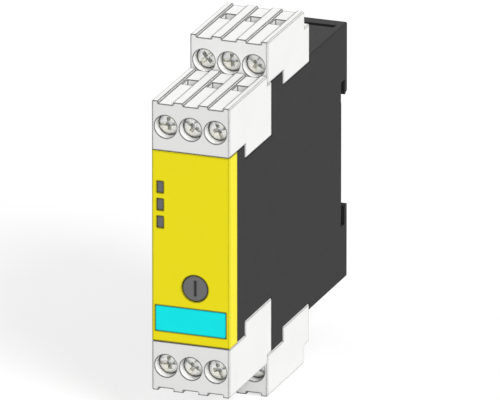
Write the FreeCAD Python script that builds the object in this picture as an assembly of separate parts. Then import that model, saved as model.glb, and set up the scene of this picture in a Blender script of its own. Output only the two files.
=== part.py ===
"""A safety relay for a 35 mm rail: a narrow black housing with a yellow front cover, two tiers of
screw terminals above and below it, and the boards, relays and supply inside.

Millimetres. X runs across the module, Y from the front face to the rail, Z up. The origin is the
middle of the rail seat, so the front face is at y = -front_to_rail. Lengths called depths are
measured back from the front face. What stands above the rail's centre line is turned half a turn
about Y to give the same thing below it.
"""

import FreeCAD
import Part
import os
from collections import namedtuple

# How far a cut runs past the face it opens, how far a fused piece is let into its carrier, and
# how close two places must be to count as one
past = 1.0
let_in = 0.1
tiny = 1e-4

# Module envelope
module_width = 22.5
front_to_rail = 88.5
back_half_height = 36.9
edge_chamfer = 0.3

# Housing walls
side_wall = 1.2
shelf_wall = 1.3
back_wall = 2.2

# Rail hooks, in heights from the rail's centre line
hook_reach = 4.8
hook_slot = 2.65
upper_hook_tip = 16.6
upper_slot_end = 20.9
lower_hook_tip = 15.4
lower_slot_end = 21.1
upper_tip_slope = 1.0
upper_tip_flat = 0.4
lower_lead_in = 0.6
lower_lead_in_width = 1.0
lower_tip_radius = 1.0

# The seat between the hooks that lies on the rail, and how far the wall beside it stands back
seat_half_height = 15.0
seat_relief = 0.25

# Slots for push-in fixing lugs, and the cored-out backs of the hooks
lug_slot_margin = 1.95
lug_slot_thickness = 1.9
lug_slot_from_back = 3.8
lug_slot_reach = 8.0
core_wall = 1.2
core_reach = 2.2

# Front cover
cover_half_height = 27.4
cover_depth = 6.0
cover_face = 1.6
cover_side = 1.2
cover_shelf = 1.3
arm_half_width = 6.0
arm_thickness = 1.0
arm_gap = 0.2
arm_end = 10.6
nose_length = 1.4
nose_rise = 0.8
snap_clearance = 0.15
tongue_half_height = 4.0
tongue_thickness = 0.9
tongue_reach = 2.0
tongue_clearance = 0.1

# Label plate
label_margin = 1.05
label_height = 7.3
label_middle = -20.7
label_thickness = 0.9
label_clearance = 0.08
peg_from_end = 3.2
peg_width = 2.0
peg_height = 1.5

# Indicator windows: three lenses on the left of the cover
lens_width = 2.0
lens_height = 3.4
lens_from_side = 2.45
lens_heights = (16.9, 11.9, 6.9)
lens_clearance = 0.06
lens_sink = 0.15
lens_flange = 0.4
lens_flange_thickness = 0.6
light_pipe_width = 1.4
light_pipe_height = 2.0
led_gap = 0.3
led_height = 0.9

# Delay knob and its trimmer
knob_from_side = 10.0
knob_z = -11.1
knob_radius = 3.75
knob_clearance = 0.1
knob_sink = 0.2
knob_thickness = 2.4
knob_slot_width = 0.6
knob_slot_length = 4.4
knob_slot_depth = 0.5
shaft_radius = 1.2
shaft_flat = 0.8
shaft_play = 0.05
trimmer_size = 7.0
trimmer_height = 2.8
trimmer_chamfer = 0.7
shaft_socket = 1.8
shaft_end_play = 0.2

# Terminal blocks
block_length = 33.0
tooth_setback = 12.4
block_gap = 0.1
rear_setback = 29.85
front_top = 41.5
rear_top = 51.0
front_tooth = 23.4
rear_sole = 38.95
rear_tooth = 34.95
rear_ledge_top = 46.0
rear_ledge_start = 29.2
block_side = 1.05
pocket_wall = 1.2
channel_rib = 2.8
channel_depth = 0.75
rib_end_slope = 0.7
latch_height = 0.35
latch_clearance = 0.05
latch_root = 0.1
latch_margin = 3.25
latch_above_tooth = 0.9

# One screw terminal, measured back from the block's face and out from the screw's axis
screw_below_top = 7.2
access_wall = 0.8
head_sink = 2.85
head_play = 0.15
head_thickness = 2.2
head_seat_gap = 0.1
shank_radius = 1.72
shank_play = 0.2
cross_arm = 0.9
cross_span = 3.5
cross_depth = 1.5
start_angle_step = 37.0
bulkhead = 2.2
pocket_play = 0.15
wire_width = 3.4
wire_past_bar = 0.5
wire_before_jaw = 0.2
bar_start = 15.5
bar_thickness = 1.3
bar_width = 3.5
bar_tail_width = 2.0
bar_groove = 0.5
bar_slot_play = 0.15
screw_end_play = 0.05
clamp_height = 5.8
clamp_length = 11.7
clamp_travel = 3.6
clamp_end_play = 0.25
clamp_roof_play = 0.2
clamp_collar = 2.0
clamp_side = 0.85
clamp_jaw = 1.0
clamp_thread_play = 0.08

# Boards
board = 1.6
board_play = 0.05
front_board_depth = 9.0
board_edge_gap = 0.35
front_board_half_height = 21.6
board_to_wall = 1.15
side_board_front_half_height = 18.4
side_board_rear_half_height = 33.0
side_board_step_depth = 51.5
side_board_end_gap = 0.1
terminal_board_z = 19.2
terminal_board_start = 12.6
terminal_board_end = 50.0
tail_past_board = 0.6
tab_length = 6.0
tab_depths = (24.0, 38.0)
front_tab_height = 6.0
guide_rib = 1.0
guide_rib_reach = 1.6

# Parts on the boards
relay_length = 28.0
relay_height = 24.0
relay_gap = 2.0
relay_start = 55.0
relay_spread = 15.6
case_chamfer = 0.6
processor_size = 10.0
processor_thickness = 1.5
processor_start = 13.0
processor_spread = 10.5
capacitor_radius = 4.0
capacitor_gap = 3.1
capacitor_depth = 20.0
core_length = 14.0
core_height = 13.0
core_gap = 3.6
core_leg = 3.2
core_yoke = 1.8
core_start = 36.0
winding_play = 0.05
winding_proud = 1.4
filter_length = 5.0
filter_gap = 3.6
filter_width = 13.0
filter_start = 27.0

# Rail and the spring that bears on its upper edge
rail_half_height = 17.5
spring_thickness = 0.35
spring_width = 2.2
spring_span = 16.0
spring_seat_depth = 0.5
spring_seat_width = 1.2
spring_end_play = 0.05

Tier = namedtuple("Tier", "name face top sole tooth ledge_start ledge_top")
front_ledge_start = rear_setback - block_gap
front_tier = Tier("front", 0.0, front_top, cover_half_height, front_tooth, front_ledge_start, rear_sole)
rear_ledge = rear_setback + rear_ledge_start
rear_tier = Tier("rear", rear_setback, rear_top, rear_sole, rear_tooth, rear_ledge, rear_ledge_top)
tiers = (front_tier, rear_tier)

# Widths that follow from the module's
half_width = module_width / 2
terminal_pitch = (module_width - 2 * block_side + pocket_wall) / 3
terminal_x = (-terminal_pitch, 0.0, terminal_pitch)
access_radius = (terminal_pitch - access_wall) / 2
head_radius = access_radius - head_play
pocket_half_width = (terminal_pitch - pocket_wall) / 2
clamp_half_width = pocket_half_width - pocket_play
lens_x = lens_from_side - half_width
knob_x = half_width - knob_from_side
label_half_width = half_width - label_margin
peg_spread = label_half_width - peg_from_end
board_half_width = half_width - side_wall - board_edge_gap
side_board_x = half_width - side_wall - board_to_wall - board / 2
board_space = 2 * side_board_x - board

# Depths inside a block, from its face
pocket_start = head_sink + head_thickness + head_seat_gap + bulkhead
clamp_start = pocket_start + clamp_end_play + clamp_travel
clamp_end = clamp_start + clamp_length
pocket_end = clamp_end + pocket_play
pocket_half_height = clamp_height / 2 + clamp_roof_play
wire_start = bar_start + bar_thickness + wire_past_bar
wire_end = clamp_end - clamp_jaw - wire_before_jaw


def y_at(depth):
    """The y of a point that lies this far behind the front face."""
    return depth - front_to_rail


def block(x0, x1, depth0, depth1, z0, z1):
    corner = FreeCAD.Vector(x0, y_at(depth0), z0)
    return Part.makeBox(x1 - x0, depth1 - depth0, z1 - z0, corner)


def rod(x, z, radius, depth0, depth1):
    """A round rod along Y."""
    start = FreeCAD.Vector(x, y_at(depth0), z)
    return Part.makeCylinder(radius, depth1 - depth0, start, FreeCAD.Vector(0, 1, 0))


def across(radius, x0, x1, depth, z):
    """A round rod along X."""
    start = FreeCAD.Vector(x0, y_at(depth), z)
    return Part.makeCylinder(radius, x1 - x0, start, FreeCAD.Vector(1, 0, 0))


def profile(points, half):
    """A side outline of (depth, height) points, as thick as the module or less."""
    corners = [FreeCAD.Vector(-half, y_at(d), z) for d, z in points]
    face = Part.Face(Part.makePolygon(corners + corners[:1]))
    return face.extrude(FreeCAD.Vector(2 * half, 0, 0))


def below(shape):
    """The same piece on the lower side of the rail's centre line."""
    turned = shape.copy()
    turned.rotate(FreeCAD.Vector(0, 0, 0), FreeCAD.Vector(0, 1, 0), 180)
    return turned


def outline_edges(shape):
    """The edges that run round the two side faces, but for those of the rail recess."""
    found = []
    for edge in shape.Edges:
        box = edge.BoundBox
        on_side = box.XLength < tiny and abs(abs(box.XMin) - half_width) < tiny
        at_back = box.YMin > -seat_relief - tiny
        short_of_ends = max(abs(box.ZMin), abs(box.ZMax)) < back_half_height - tiny
        if on_side and not (at_back and short_of_ends):
            found.append(edge)
    return found


def cross_edges(shape, depth, z):
    """The edges along X that lie at this depth and height."""
    found = []
    for edge in shape.Edges:
        box = edge.BoundBox
        level = box.ZLength < tiny and abs(box.ZMin - z) < tiny
        placed = box.YLength < tiny and abs(box.YMin - y_at(depth)) < tiny
        if level and placed:
            found.append(edge)
    return found


def save(name, shape):
    shape.exportStep("parts/" + name + ".step")


def stepped_side(shift, drop):
    """The upper side of the housing from the front to the back, taken in by a wall or not at all."""
    front_step = tooth_setback - block_gap - shift
    front_riser = block_length + block_gap + shift
    rear_step = rear_setback + tooth_setback - block_gap - shift
    rear_riser = rear_setback + block_length + block_gap + shift
    return [
        (front_step, cover_half_height - drop),
        (front_step, front_tooth - drop),
        (front_riser, front_tooth - drop),
        (front_riser, rear_sole - drop),
        (rear_step, rear_sole - drop),
        (rear_step, rear_tooth - drop),
        (rear_riser, rear_tooth - drop),
        (rear_riser, back_half_height - drop),
    ]


def mirrored(points):
    return [(d, -z) for d, z in reversed(points)]


def housing_body():
    """The outer form, with the hooks that hold the rail."""
    hook_back = front_to_rail + hook_reach
    slot_back = front_to_rail + hook_slot
    slot_root = front_to_rail - seat_relief
    upper = [(cover_depth, cover_half_height)] + stepped_side(0, 0)
    hooks = [
        (hook_back, back_half_height),
        (hook_back, upper_hook_tip + upper_tip_slope),
        (slot_back + upper_tip_flat, upper_hook_tip),
        (slot_back, upper_hook_tip),
        (slot_back, upper_slot_end),
        (slot_root, upper_slot_end),
        (slot_root, seat_half_height),
        (front_to_rail, seat_half_height),
        (front_to_rail, -seat_half_height),
        (slot_root, -seat_half_height),
        (slot_root, -lower_slot_end),
        (slot_back, -lower_slot_end),
        (slot_back, -lower_hook_tip - lower_lead_in),
        (slot_back + lower_lead_in_width, -lower_hook_tip),
        (hook_back, -lower_hook_tip),
        (hook_back, -back_half_height),
    ]
    body = profile(upper + hooks + mirrored(upper), half_width)
    body = body.makeChamfer(edge_chamfer, outline_edges(body))
    return body.makeFillet(lower_tip_radius, cross_edges(body, hook_back, -lower_hook_tip))


def housing_cavity():
    end = front_to_rail - back_wall
    upper = [(cover_depth - past, cover_half_height - shelf_wall)]
    upper += stepped_side(shelf_wall, shelf_wall)
    upper += [(end, back_half_height - shelf_wall)]
    return profile(upper + mirrored(upper), half_width - side_wall)


def lug_slot():
    """A thin slot in the top face, near the back, that takes a push-in fixing lug."""
    end = front_to_rail + hook_reach - lug_slot_from_back
    half = half_width - lug_slot_margin
    floor = back_half_height - lug_slot_reach
    return block(-half, half, end - lug_slot_thickness, end, floor, back_half_height + past)


def hook_cores():
    """Two pockets that core out the back of a hook, so that it moulds without a thick lump."""
    outer = half_width - core_wall
    back = front_to_rail + hook_reach
    top = back_half_height - core_wall
    floor = max(upper_slot_end + spring_seat_depth, lower_slot_end) + core_wall
    left = block(-outer, -core_wall / 2, back - core_reach, back + past, floor, top)
    right = block(core_wall / 2, outer, back - core_reach, back + past, floor, top)
    return [left, right]


def bar_slot(tier, x):
    """The slot in a shelf that a terminal's bar passes through."""
    half = bar_width / 2 + bar_slot_play
    start = tier.face + bar_start - bar_slot_play
    end = tier.face + bar_start + bar_thickness + bar_slot_play
    return block(x - half, x + half, start, end, tier.tooth - shelf_wall - past, tier.tooth + past)


def latch_ridge(tier, depth, play):
    """A ridge of triangular section across a block's back, or the groove that it snaps into."""
    middle = tier.tooth + latch_above_tooth
    rise = latch_height + play
    foot = rise + latch_root
    root = depth - latch_root
    points = [(root, middle - foot), (depth + rise, middle), (root, middle + foot)]
    return profile(points, half_width - latch_margin + play)


def snap_window():
    """The hole in the front shelf that the cover's arm catches in."""
    half = arm_half_width + snap_clearance
    start = arm_end - nose_length - snap_clearance
    floor = cover_half_height - shelf_wall - past
    return block(-half, half, start, arm_end + snap_clearance, floor, cover_half_height + past)


def spring_seat(side):
    """A groove in the roof of the upper slot that keeps one end of the spring from sliding out."""
    middle = side * (spring_span - spring_seat_width) / 2
    half = spring_seat_width / 2 + spring_end_play
    top = upper_slot_end + spring_seat_depth
    start = front_to_rail - seat_relief
    end = front_to_rail + hook_slot
    return block(middle - half, middle + half, start, end, upper_slot_end - let_in, top)


def guide_ribs():
    """Ribs on the back wall that hold the rear edges of the two side boards."""
    end = front_to_rail - back_wall
    half = side_board_rear_half_height
    ribs = []
    for side in (-1, 1):
        for face in (-1, 1):
            inner = side * side_board_x + face * (board / 2 + board_play)
            outer = inner + face * guide_rib
            low, high = sorted((inner, outer))
            low = max(low, -(half_width - side_wall))
            high = min(high, half_width - side_wall)
            ribs.append(block(low, high, end - guide_rib_reach, end + let_in, -half, half))
    return ribs


def housing_shell():
    cuts = [housing_cavity(), lug_slot(), snap_window()]
    cuts += hook_cores()
    for tier in tiers:
        groove_depth = tier.face + block_length + block_gap
        cuts.append(latch_ridge(tier, groove_depth, latch_clearance))
        cuts += [bar_slot(tier, x) for x in terminal_x]
    cuts += [below(cut) for cut in cuts[1:]]
    cuts += [spring_seat(-1), spring_seat(1)]
    shell = housing_body().cut(cuts)
    return shell.fuse(guide_ribs()).removeSplitter()


def snap_arm():
    """A springy arm with a nose that catches in the housing's front shelf."""
    top = cover_half_height - shelf_wall - arm_gap
    start = cover_face - let_in
    arm = block(-arm_half_width, arm_half_width, start, arm_end, top - arm_thickness, top)
    nose_start = arm_end - nose_length
    root = top - arm_thickness / 2
    points = [(nose_start, root), (nose_start, top + nose_rise), (arm_end, top), (arm_end, root)]
    nose = profile(points, arm_half_width)
    return arm.fuse(nose)


def cover_tongue():
    """A tongue inside the cover's right wall that reaches into the housing and lines them up."""
    wall = half_width - cover_side
    outer = half_width - side_wall - tongue_clearance
    inner = outer - tongue_thickness
    half = tongue_half_height
    start = cover_face - let_in
    root = block(inner, wall + let_in, start, cover_depth, -half, half)
    tip = block(inner, outer, start, cover_depth + tongue_reach, -half, half)
    return root.fuse(tip)


def label_recess():
    half_w = label_half_width + label_clearance
    half_h = label_height / 2 + label_clearance
    low = label_middle - half_h
    high = label_middle + half_h
    return block(-half_w, half_w, -past, label_thickness, low, high)


def label_peg(x, play):
    half_w = peg_width / 2 + play
    half_h = peg_height / 2 + play
    low = label_middle - half_h
    high = label_middle + half_h
    return block(x - half_w, x + half_w, label_thickness / 2, cover_face, low, high)


def front_cover():
    outer = block(-half_width, half_width, 0, cover_depth, -cover_half_height, cover_half_height)
    edges = [e for e in outer.Edges if e.BoundBox.YMax < y_at(0) + tiny]
    outer = outer.makeChamfer(edge_chamfer, edges)
    inner_x = half_width - cover_side
    inner_z = cover_half_height - cover_shelf
    through = cover_face + past
    cuts = [block(-inner_x, inner_x, cover_face, cover_depth + past, -inner_z, inner_z)]
    cuts.append(label_recess())
    cuts += [label_peg(x, label_clearance) for x in (-peg_spread, peg_spread)]
    cuts.append(rod(knob_x, knob_z, knob_radius + knob_clearance, -past, through))
    half_w = lens_width / 2
    half_h = lens_height / 2
    left = lens_x - half_w
    cuts += [block(left, lens_x + half_w, -past, through, z - half_h, z + half_h) for z in lens_heights]
    shell = outer.cut(cuts)
    arm = snap_arm()
    tongue = cover_tongue()
    shell = shell.fuse([arm, below(arm), tongue, below(tongue)])
    return shell.removeSplitter()


def label_plate():
    half_w = label_half_width
    half_h = label_height / 2
    plate = block(-half_w, half_w, 0, label_thickness, label_middle - half_h, label_middle + half_h)
    corners = [e for e in plate.Edges if abs(e.BoundBox.YLength - label_thickness) < tiny]
    plate = plate.makeChamfer(edge_chamfer, corners)
    return plate.fuse([label_peg(x, 0) for x in (-peg_spread, peg_spread)]).removeSplitter()


def indicator_lens(z):
    """A lens with a flange behind the cover and a light pipe that ends in front of its LED."""
    half_w = lens_width / 2 - lens_clearance
    half_h = lens_height / 2 - lens_clearance
    flange_end = cover_face + lens_flange_thickness
    pipe_end = front_board_depth - led_height - led_gap
    head = block(lens_x - half_w, lens_x + half_w, lens_sink, flange_end, z - half_h, z + half_h)
    side = half_w + lens_flange
    tall = half_h + lens_flange
    flange = block(lens_x - half_w, lens_x + side, cover_face, flange_end, z - tall, z + tall)
    pipe_w = light_pipe_width / 2
    pipe_h = light_pipe_height / 2
    pipe = block(lens_x - pipe_w, lens_x + pipe_w, cover_face, pipe_end, z - pipe_h, z + pipe_h)
    return head.fuse([flange, pipe]).removeSplitter()


def indicator_led(z):
    half_w = light_pipe_width / 2
    half_h = light_pipe_height / 2
    start = front_board_depth - led_height
    return block(lens_x - half_w, lens_x + half_w, start, front_board_depth, z - half_h, z + half_h)


def flatted_shaft(radius, flat, depth0, depth1):
    """A D-shaped shaft on the knob's axis, with its flat on the upper side."""
    shaft = rod(knob_x, knob_z, radius, depth0, depth1)
    left = knob_x - radius
    right = knob_x + radius
    waste = block(left, right, depth0 - past, depth1 + past, knob_z + flat, knob_z + radius + past)
    return shaft.cut(waste)


def delay_knob():
    """A slotted adjuster whose shaft is pushed into the trimmer on the front board."""
    head_end = knob_sink + knob_thickness
    head = rod(knob_x, knob_z, knob_radius, knob_sink, head_end)
    shaft_end = front_board_depth - trimmer_height + shaft_socket - shaft_end_play
    shaft = flatted_shaft(shaft_radius, shaft_flat, head_end - let_in, shaft_end)
    reach = knob_slot_length / 2
    half = knob_slot_width / 2
    floor = knob_sink + knob_slot_depth
    slot = block(knob_x - half, knob_x + half, -past, floor, knob_z - reach, knob_z + reach)
    return head.fuse(shaft).cut(slot).removeSplitter()


def trimmer_body():
    half = trimmer_size / 2
    start = front_board_depth - trimmer_height
    body = block(knob_x - half, knob_x + half, start, front_board_depth, knob_z - half, knob_z + half)
    edges = [e for e in body.Edges if abs(e.BoundBox.YLength - trimmer_height) < tiny]
    body = body.makeChamfer(trimmer_chamfer, edges)
    return body.cut(rod(knob_x, knob_z, shaft_radius + shaft_play, start - past, start + shaft_socket))


def terminal_pocket(tier, x):
    """The space that one clamp slides in, open to the block's underside."""
    axis_z = tier.top - screw_below_top
    start = tier.face + pocket_start
    roof = axis_z + pocket_half_height
    end = tier.face + pocket_end
    return block(x - pocket_half_width, x + pocket_half_width, start, end, tier.tooth - past, roof)


def terminal_cuts(tier, x):
    """Everything that is taken out of a block for one terminal."""
    axis_z = tier.top - screw_below_top
    seat = tier.face + pocket_start - bulkhead
    roof = axis_z + pocket_half_height
    half = (terminal_pitch - channel_rib) / 2
    wire = wire_width / 2
    wire_from = tier.face + wire_start
    wire_to = tier.face + wire_end
    channel_end = tier.ledge_start + past
    channel_floor = tier.top - channel_depth
    bar_half = bar_width / 2 + bar_slot_play
    bar_from = tier.face + bar_start
    bar_to = bar_from + bar_thickness
    shank = shank_radius + shank_play
    shank_to = seat + bulkhead + past
    return [
        block(x - half, x + half, tier.face - past, channel_end, channel_floor, tier.top + past),
        rod(x, axis_z, access_radius, tier.face - past, seat),
        block(x - shank, x + shank, seat - past, shank_to, axis_z - shank, axis_z + shank),
        terminal_pocket(tier, x),
        block(x - wire, x + wire, wire_from, wire_to, roof - past, tier.top),
        block(x - bar_half, x + bar_half, bar_from, bar_to, roof - past, roof + bar_groove),
    ]


def terminal_block(tier):
    """A moulded block of three screw terminals, with ribs between the wire channels on top."""
    back = tier.face + block_length
    tooth_face = tier.face + tooth_setback
    body = profile(
        [
            (tier.face, tier.top),
            (tier.ledge_start - rib_end_slope, tier.top),
            (tier.ledge_start, tier.top - rib_end_slope),
            (tier.ledge_start, tier.ledge_top),
            (back, tier.ledge_top),
            (back, tier.tooth),
            (tooth_face, tier.tooth),
            (tooth_face, tier.sole),
            (tier.face, tier.sole),
        ],
        half_width,
    )
    body = body.makeChamfer(edge_chamfer, outline_edges(body))
    cuts = []
    for x in terminal_x:
        cuts += terminal_cuts(tier, x)
    return body.cut(cuts).fuse(latch_ridge(tier, back, 0)).removeSplitter()


def terminal_screw(tier, x, angle):
    """A cross head screw, turned to the angle that it was left at."""
    axis_z = tier.top - screw_below_top
    head_face = tier.face + head_sink
    head_back = head_face + head_thickness
    tip = tier.face + bar_start - screw_end_play
    head = rod(x, axis_z, head_radius, head_face, head_back)
    shank = rod(x, axis_z, shank_radius, head_back, tip)
    arm = cross_arm / 2
    reach = cross_span / 2
    floor = head_face + cross_depth
    upright = block(x - arm, x + arm, head_face - past, floor, axis_z - reach, axis_z + reach)
    level = block(x - reach, x + reach, head_face - past, floor, axis_z - arm, axis_z + arm)
    cross = upright.fuse(level).removeSplitter()
    screw = head.fuse(shank).cut(cross).removeSplitter()
    screw.rotate(FreeCAD.Vector(x, 0, axis_z), FreeCAD.Vector(0, 1, 0), angle)
    return screw


def wire_clamp(tier, x):
    """A folded steel box with a tapped collar: the screw draws its far wall up to the bar."""
    axis_z = tier.top - screw_below_top
    start = tier.face + clamp_start
    end = tier.face + clamp_end
    half_w = clamp_half_width
    half_h = clamp_height / 2
    box = block(x - half_w, x + half_w, start, end, axis_z - half_h, axis_z + half_h)
    inner = half_w - clamp_side
    low = axis_z - half_h - past
    high = axis_z + half_h + past
    window = block(x - inner, x + inner, start + clamp_collar, end - clamp_jaw, low, high)
    hole = rod(x, axis_z, shank_radius + clamp_thread_play, start - past, start + clamp_collar + past)
    return box.cut([window, hole])


def terminal_bar(tier, x):
    """The current bar behind a clamp, with a narrow tail soldered into the terminal board."""
    axis_z = tier.top - screw_below_top
    start = tier.face + bar_start
    end = start + bar_thickness
    top = axis_z + pocket_half_height + bar_groove
    shoulder = terminal_board_z + board
    half = bar_width / 2
    tail = bar_tail_width / 2
    wide = block(x - half, x + half, start, end, shoulder, top)
    tip = terminal_board_z - tail_past_board
    narrow = block(x - tail, x + tail, start, end, tip, shoulder + let_in)
    return wide.fuse(narrow).removeSplitter()


def terminal_board():
    """The board across the module that the bars of both tiers are soldered to."""
    half = board_half_width
    low = terminal_board_z
    high = low + board
    plate = block(-half, half, terminal_board_start, terminal_board_end, low, high)
    cuts = []
    tail = bar_tail_width / 2
    for tier in tiers:
        start = tier.face + bar_start
        cuts += [block(x - tail, x + tail, start, start + bar_thickness, low, high) for x in terminal_x]
    slot = board / 2 + board_play
    for depth in tab_depths:
        start = depth - board_play
        end = depth + tab_length + board_play
        cuts += [block(x - slot, x + slot, start, end, low, high) for x in (-side_board_x, side_board_x)]
    return plate.cut(cuts)


def side_board(x):
    """A board along one side: narrow between the terminal boards, taller behind them."""
    low = side_board_front_half_height
    high = side_board_rear_half_height
    tab = front_tab_height / 2
    left = x - board / 2
    right = x + board / 2
    start = front_board_depth + board
    end = front_to_rail - back_wall - side_board_end_gap
    pieces = [
        block(left, right, start, end, -low, low),
        block(left, right, side_board_step_depth, end, -high, high),
        block(left, right, front_board_depth, start, -tab, tab),
    ]
    reach = terminal_board_z + board
    pieces += [block(left, right, depth, depth + tab_length, -reach, reach) for depth in tab_depths]
    return pieces[0].fuse(pieces[1:]).removeSplitter()


def front_board():
    half = board_half_width
    high = front_board_half_height
    start = front_board_depth
    end = start + board
    slot = board / 2 + board_play
    tab = front_tab_height / 2 + board_play
    slots = [block(x - slot, x + slot, start, end, -tab, tab) for x in (-side_board_x, side_board_x)]
    return block(-half, half, start, end, -high, high).cut(slots)


def relay_case(side):
    """A sealed relay with forcibly guided contacts, on the right board."""
    inner = side_board_x - board / 2
    middle = side * relay_spread
    half = relay_height / 2
    end = relay_start + relay_length
    face = inner - board_space + relay_gap
    case = block(face, inner, relay_start, end, middle - half, middle + half)
    edges = [e for e in case.Edges if e.BoundBox.XMax < inner - tiny]
    return case.makeChamfer(case_chamfer, edges)


def processor(side):
    """One of the two processors that check each other, on the left board."""
    outer = -side_board_x + board / 2
    middle = side * processor_spread
    half = processor_size / 2
    top = outer + processor_thickness
    end = processor_start + processor_size
    return block(outer, top, processor_start, end, middle - half, middle + half)


def supply_capacitor():
    """A round can that stands on the right board."""
    inner = side_board_x - board / 2
    return across(capacitor_radius, inner - board_space + capacitor_gap, inner, capacitor_depth, 0)


def transformer_core():
    """A ferrite core with two windows, on the left board."""
    outer = -side_board_x + board / 2
    half = core_height / 2
    end = core_start + core_length
    face = outer + board_space - core_gap
    core = block(outer, face, core_start, end, -half, half)
    start = core_start + core_yoke
    inner = core_leg / 2
    top = half - core_yoke
    windows = [
        block(outer, face, start, end - core_yoke, inner, top),
        block(outer, face, start, end - core_yoke, -top, -inner),
    ]
    return core.cut(windows)


def transformer_winding():
    """The coil round the core's middle leg. It stands proud of the core on its outer side."""
    outer = -side_board_x + board / 2
    start = core_start + core_yoke + winding_play
    end = core_start + core_length - core_yoke - winding_play
    reach = core_height / 2 - core_yoke - winding_play
    leg = core_leg / 2 + winding_play
    face = outer + board_space - core_gap
    coil = block(outer, face + winding_proud, start, end, -reach, reach)
    return coil.cut(block(outer, face + winding_play, start, end, -leg, leg))


def filter_capacitor():
    """A boxed film capacitor across the supply, on the left board."""
    outer = -side_board_x + board / 2
    half = filter_width / 2
    end = filter_start + filter_length
    face = outer + board_space - filter_gap
    case = block(outer, face, filter_start, end, -half, half)
    edges = [e for e in case.Edges if e.BoundBox.XMin > outer + tiny]
    return case.makeChamfer(case_chamfer, edges)


def rail_spring():
    """A bowed strip in the upper hook. Its ends sit in the slot's roof and its middle on the rail."""
    end = upper_slot_end + spring_seat_depth - spring_end_play
    half = spring_span / 2
    y = (hook_slot - spring_width) / 2
    left = FreeCAD.Vector(-half, y, end)
    right = FreeCAD.Vector(half, y, end)
    middle = FreeCAD.Vector(0, y, rail_half_height + spring_thickness)
    down = FreeCAD.Vector(0, 0, -spring_thickness)
    edges = [
        Part.Arc(left, middle, right).toShape(),
        Part.makeLine(right, right + down),
        Part.Arc(right + down, middle + down, left + down).toShape(),
        Part.makeLine(left + down, left),
    ]
    return Part.Face(Part.Wire(edges)).extrude(FreeCAD.Vector(0, spring_width, 0))


def save_terminals():
    """The two tiers of terminals, above and below, with screws and clamps numbered from the left."""
    for side, place in (("upper", lambda shape: shape), ("lower", below)):
        for tier in tiers:
            name = side + "_" + tier.name
            save("block_" + name, place(terminal_block(tier)))
            save("bars_" + name, Part.Compound([place(terminal_bar(tier, x)) for x in terminal_x]))
            order = terminal_x if side == "upper" else terminal_x[::-1]
            for number, x in enumerate(order, 1):
                angle = start_angle_step * (number + len(name))
                save("screw_" + name + "_" + str(number), place(terminal_screw(tier, x, angle)))
                save("clamp_" + name + "_" + str(number), place(wire_clamp(tier, x)))


def main():
    os.makedirs("parts", exist_ok=True)
    save("housing_shell", housing_shell())
    save("front_cover", front_cover())
    save("label_plate", label_plate())
    for number, z in enumerate(lens_heights, 1):
        save("indicator_lens_" + str(number), indicator_lens(z))
    save("indicator_leds", Part.Compound([indicator_led(z) for z in lens_heights]))
    save("delay_knob", delay_knob())
    save("trimmer_body", trimmer_body())
    save("front_board", front_board())
    save("logic_board", side_board(-side_board_x))
    save("relay_board", side_board(side_board_x))
    save("upper_terminal_board", terminal_board())
    save("lower_terminal_board", below(terminal_board()))
    save("relay_a", relay_case(1))
    save("relay_b", relay_case(-1))
    save("processor_a", processor(1))
    save("processor_b", processor(-1))
    save("supply_capacitor", supply_capacitor())
    save("transformer_core", transformer_core())
    save("transformer_winding", transformer_winding())
    save("filter_capacitor", filter_capacitor())
    save("rail_spring", rail_spring())
    save_terminals()


main()
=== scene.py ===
"""The looks of a safety relay for a 35 mm rail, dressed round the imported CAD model."""

import math

import bmesh
import bpy
from mathutils import Matrix, Vector


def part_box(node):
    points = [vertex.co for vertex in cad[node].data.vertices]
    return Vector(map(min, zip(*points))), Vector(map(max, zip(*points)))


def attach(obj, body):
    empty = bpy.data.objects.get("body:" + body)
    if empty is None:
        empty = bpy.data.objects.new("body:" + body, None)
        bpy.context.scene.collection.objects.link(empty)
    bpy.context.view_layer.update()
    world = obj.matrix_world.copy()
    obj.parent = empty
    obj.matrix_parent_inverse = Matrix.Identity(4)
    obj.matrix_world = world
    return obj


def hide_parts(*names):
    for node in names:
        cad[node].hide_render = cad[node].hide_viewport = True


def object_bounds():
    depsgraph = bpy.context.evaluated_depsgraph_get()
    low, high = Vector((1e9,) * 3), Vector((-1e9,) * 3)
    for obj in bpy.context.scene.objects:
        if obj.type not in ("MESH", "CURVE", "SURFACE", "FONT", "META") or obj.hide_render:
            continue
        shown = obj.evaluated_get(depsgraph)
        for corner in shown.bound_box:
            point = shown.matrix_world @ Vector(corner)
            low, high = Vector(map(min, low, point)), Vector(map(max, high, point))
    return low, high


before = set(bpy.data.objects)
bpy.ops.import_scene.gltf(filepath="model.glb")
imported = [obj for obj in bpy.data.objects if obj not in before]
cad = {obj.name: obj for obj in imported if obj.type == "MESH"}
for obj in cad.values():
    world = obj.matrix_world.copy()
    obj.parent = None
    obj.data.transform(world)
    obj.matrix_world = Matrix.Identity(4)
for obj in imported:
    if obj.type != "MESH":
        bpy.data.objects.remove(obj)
cad_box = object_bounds()


# Housing. One injection moulding in black glass-filled polyamide, open at the front. Its tool is
# spark eroded, so the skin has a fine even grain, and it snaps over the rail with its two hooks.

mm = 0.001


def linear(colour):
    """An sRGB hex colour as the linear red, green and blue that a shader takes."""
    parts = [int(colour[i : i + 2], 16) / 255 for i in (1, 3, 5)]
    return [p / 12.92 if p <= 0.04045 else ((p + 0.055) / 1.055) ** 2.4 for p in parts]


def node(finish, kind, inputs, **settings):
    """Adds a node. Its inputs are values, or outputs of other nodes that are linked to it."""
    made = finish.node_tree.nodes.new("ShaderNode" + kind)
    for name, value in settings.items():
        setattr(made, name, value)
    for socket, value in inputs.items():
        if isinstance(value, bpy.types.NodeSocket):
            finish.node_tree.links.new(value, made.inputs[socket])
        else:
            made.inputs[socket].default_value = value
    return made


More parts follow.
